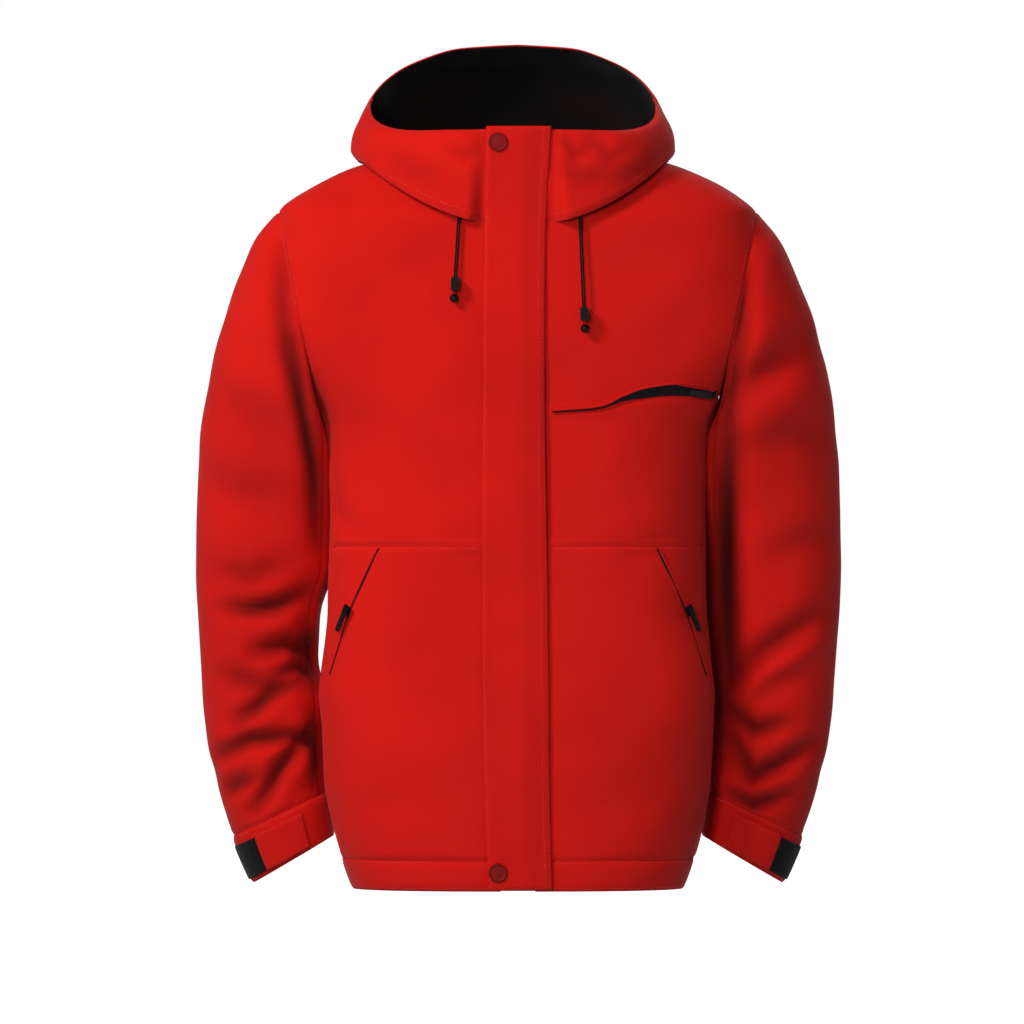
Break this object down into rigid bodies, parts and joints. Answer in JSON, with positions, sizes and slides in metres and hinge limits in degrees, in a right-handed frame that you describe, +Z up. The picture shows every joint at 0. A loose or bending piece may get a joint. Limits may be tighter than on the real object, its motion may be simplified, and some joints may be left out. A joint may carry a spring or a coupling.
{
  "type": "hardshell jacket",
  "caption": "Waterproof shell jacket with a zipped front under a snap-closed storm flap, a fixed hood with drawcords, zipped pockets and adjustable cuffs.",
  "frame": {"origin": "middle of the hanger loop, inside the back of the neck", "axes": "+Z up, +X towards the wearer's left, front towards -Y"},
  "size_m": [0.6476, 0.3238, 0.844],
  "materials": {
    "shell_fabric": "matte woven laminate, bright red",
    "black_lining": "matte black knit backer",
    "loop_patch": "black hook-and-loop pile",
    "webbing": "black woven tape",
    "zip_tape": "black coated tape with coil",
    "slider_metal": "black painted",
    "snap_cap": "satin dark red lacquer",
    "bare_steel": "plain",
    "cord": "black braided elastic",
    "toggle_plastic": "black moulded"
  },
  "bodies": {
    "jacket": {"back_panel": "shell_fabric", "back_yoke": "shell_fabric", "chest_pocket_bag": "black_lining", "chest_pocket_zip": "zip_tape", "collar_stand": "black_lining", "cord_end_left": "toggle_plastic", "cord_end_right": "toggle_plastic", "cord_eyelet_left": "bare_steel", "cord_eyelet_right": "bare_steel", "cuff_band_left": "shell_fabric", "cuff_band_right": "shell_fabric", "cuff_patch_left": "loop_patch", "cuff_patch_right": "loop_patch", "front_left_lower": "shell_fabric", "front_left_upper": "shell_fabric", "front_left_yoke": "shell_fabric", "front_right_lower": "shell_fabric", "front_right_upper": "shell_fabric", "hand_pocket_bag_left": "black_lining", "hand_pocket_bag_right": "black_lining", "hand_pocket_zip_left": "zip_tape", "hand_pocket_zip_right": "zip_tape", "hanger_loop": "webbing", "hem_band": "shell_fabric", "hood_cord_left_a": "cord", "hood_cord_left_b": "cord", "hood_cord_right_a": "cord", "hood_cord_right_b": "cord", "hood_front_left": "shell_fabric", "hood_front_right": "shell_fabric", "side_panel_left": "shell_fabric", "side_panel_right": "shell_fabric", "sleeve_left_under": "shell_fabric", "sleeve_left_upper": "shell_fabric", "sleeve_right_under": "shell_fabric", "sleeve_right_upper": "shell_fabric", "snap_stud_bottom": "bare_steel", "snap_stud_top": "bare_steel", "zip_guard": "black_lining", "zip_retainer_box": "slider_metal", "zip_tape_left": "zip_tape", "zip_tape_right": "zip_tape"},
    "storm_flap": {"storm_flap": "shell_fabric", "snap_cap_top": "snap_cap", "snap_cap_bottom": "snap_cap"},
    "main_slider": {"main_slider": "slider_metal"},
    "main_pull": {"main_pull": "slider_metal"},
    "hand_slider_right": {"hand_slider_right": "slider_metal"},
    "hand_pull_right": {"hand_pull_right": "slider_metal"},
    "hand_slider_left": {"hand_slider_left": "slider_metal"},
    "hand_pull_left": {"hand_pull_left": "slider_metal"},
    "chest_slider": {"chest_slider": "slider_metal"},
    "chest_pull": {"chest_pull": "slider_metal"},
    "cord_lock_right": {"cord_lock_right": "toggle_plastic"},
    "lock_plunger_right": {"lock_plunger_right": "toggle_plastic"},
    "cord_lock_left": {"cord_lock_left": "toggle_plastic"},
    "lock_plunger_left": {"lock_plunger_left": "toggle_plastic"},
    "cuff_tab_right": {"cuff_tab_right": "shell_fabric"},
    "cuff_tab_left": {"cuff_tab_left": "shell_fabric"},
    "hood": {"hood_crown": "shell_fabric"}
  },
  "joints": [
    {"name": "storm_flap_hinge", "type": "hinge", "parent": "jacket", "child": "storm_flap", "pos_m": [0.03, -0.1596, -0.3705], "axis": [0, 0, 1], "range_deg": [0, 150]},
    {"name": "main_zip_slide", "type": "slide", "parent": "jacket", "child": "main_slider", "axis": [0, 0, 1], "range_m": [-0.7, 0]},
    {"name": "main_pull_swing", "type": "hinge", "parent": "main_slider", "child": "main_pull", "pos_m": [0, -0.1576, -0.009], "axis": [0, 1, 0], "range_deg": [-25, 25]},
    {"name": "hand_zip_slide_left", "type": "hinge", "parent": "jacket", "child": "hand_slider_left", "pos_m": [-0.3244, -0.2379, -0.7019], "axis": [-0.3192, 0.9323, 0.1702], "range_deg": [-5, 5]},
    {"name": "hand_pull_swing_left", "type": "hinge", "parent": "hand_slider_left", "child": "hand_pull_left", "pos_m": [0.171, -0.1169, -0.472], "axis": [0.7148, -0.6993, 0.0055], "range_deg": [-35, 35]},
    {"name": "hand_zip_slide_right", "type": "hinge", "parent": "jacket", "child": "hand_slider_right", "pos_m": [0.3244, -0.2379, -0.7019], "axis": [-0.3192, -0.9323, -0.1702], "range_deg": [-5, 5]},
    {"name": "hand_pull_swing_right", "type": "hinge", "parent": "hand_slider_right", "child": "hand_pull_right", "pos_m": [-0.171, -0.1169, -0.472], "axis": [-0.7148, -0.6993, 0.0055], "range_deg": [-35, 35]},
    {"name": "chest_zip_slide", "type": "hinge", "parent": "jacket", "child": "chest_slider", "pos_m": [0.12, -0.0506, -0.3253], "axis": [-0.2719, 0.5661, 0.7782], "range_deg": [-32, 0]},
    {"name": "chest_pull_swing", "type": "hinge", "parent": "chest_slider", "child": "chest_pull", "pos_m": [0.1874, -0.1216, -0.2577], "axis": [0.5764, -0.7422, -0.342], "range_deg": [-35, 35]},
    {"name": "cord_lock_slide_right", "type": "slide", "parent": "jacket", "child": "cord_lock_right", "axis": [0.0608, 0.0316, 0.9976], "range_m": [0, 0.045]},
    {"name": "lock_plunger_press_right", "type": "slide", "parent": "cord_lock_right", "child": "lock_plunger_right", "axis": [-0.001, 0.9995, -0.0316], "range_m": [0, 0.002], "stiffness_N_per_m": 120, "springref_m": -0.001},
    {"name": "cord_lock_slide_left", "type": "slide", "parent": "jacket", "child": "cord_lock_left", "axis": [-0.0434, 0.0226, 0.9988], "range_m": [0, 0.07]},
    {"name": "lock_plunger_press_left", "type": "slide", "parent": "cord_lock_left", "child": "lock_plunger_left", "axis": [0.0005, 0.9997, -0.0226], "range_m": [0, 0.002], "stiffness_N_per_m": 120, "springref_m": -0.001},
    {"name": "cuff_tab_hinge_left", "type": "hinge", "parent": "jacket", "child": "cuff_tab_left", "pos_m": [0.2154, -0.0383, -0.6927], "axis": [-0.2833, 0.0885, -0.9549], "range_deg": [0, 75]},
    {"name": "cuff_tab_hinge_right", "type": "hinge", "parent": "jacket", "child": "cuff_tab_right", "pos_m": [-0.2154, -0.0383, -0.6927], "axis": [-0.2833, -0.0885, 0.9549], "range_deg": [0, 75]},
    {"name": "hood_raise", "type": "hinge", "parent": "jacket", "child": "hood", "pos_m": [0, -0.027, 0.032], "axis": [1, 0, 0], "range_deg": [0, 85]}
  ]
}
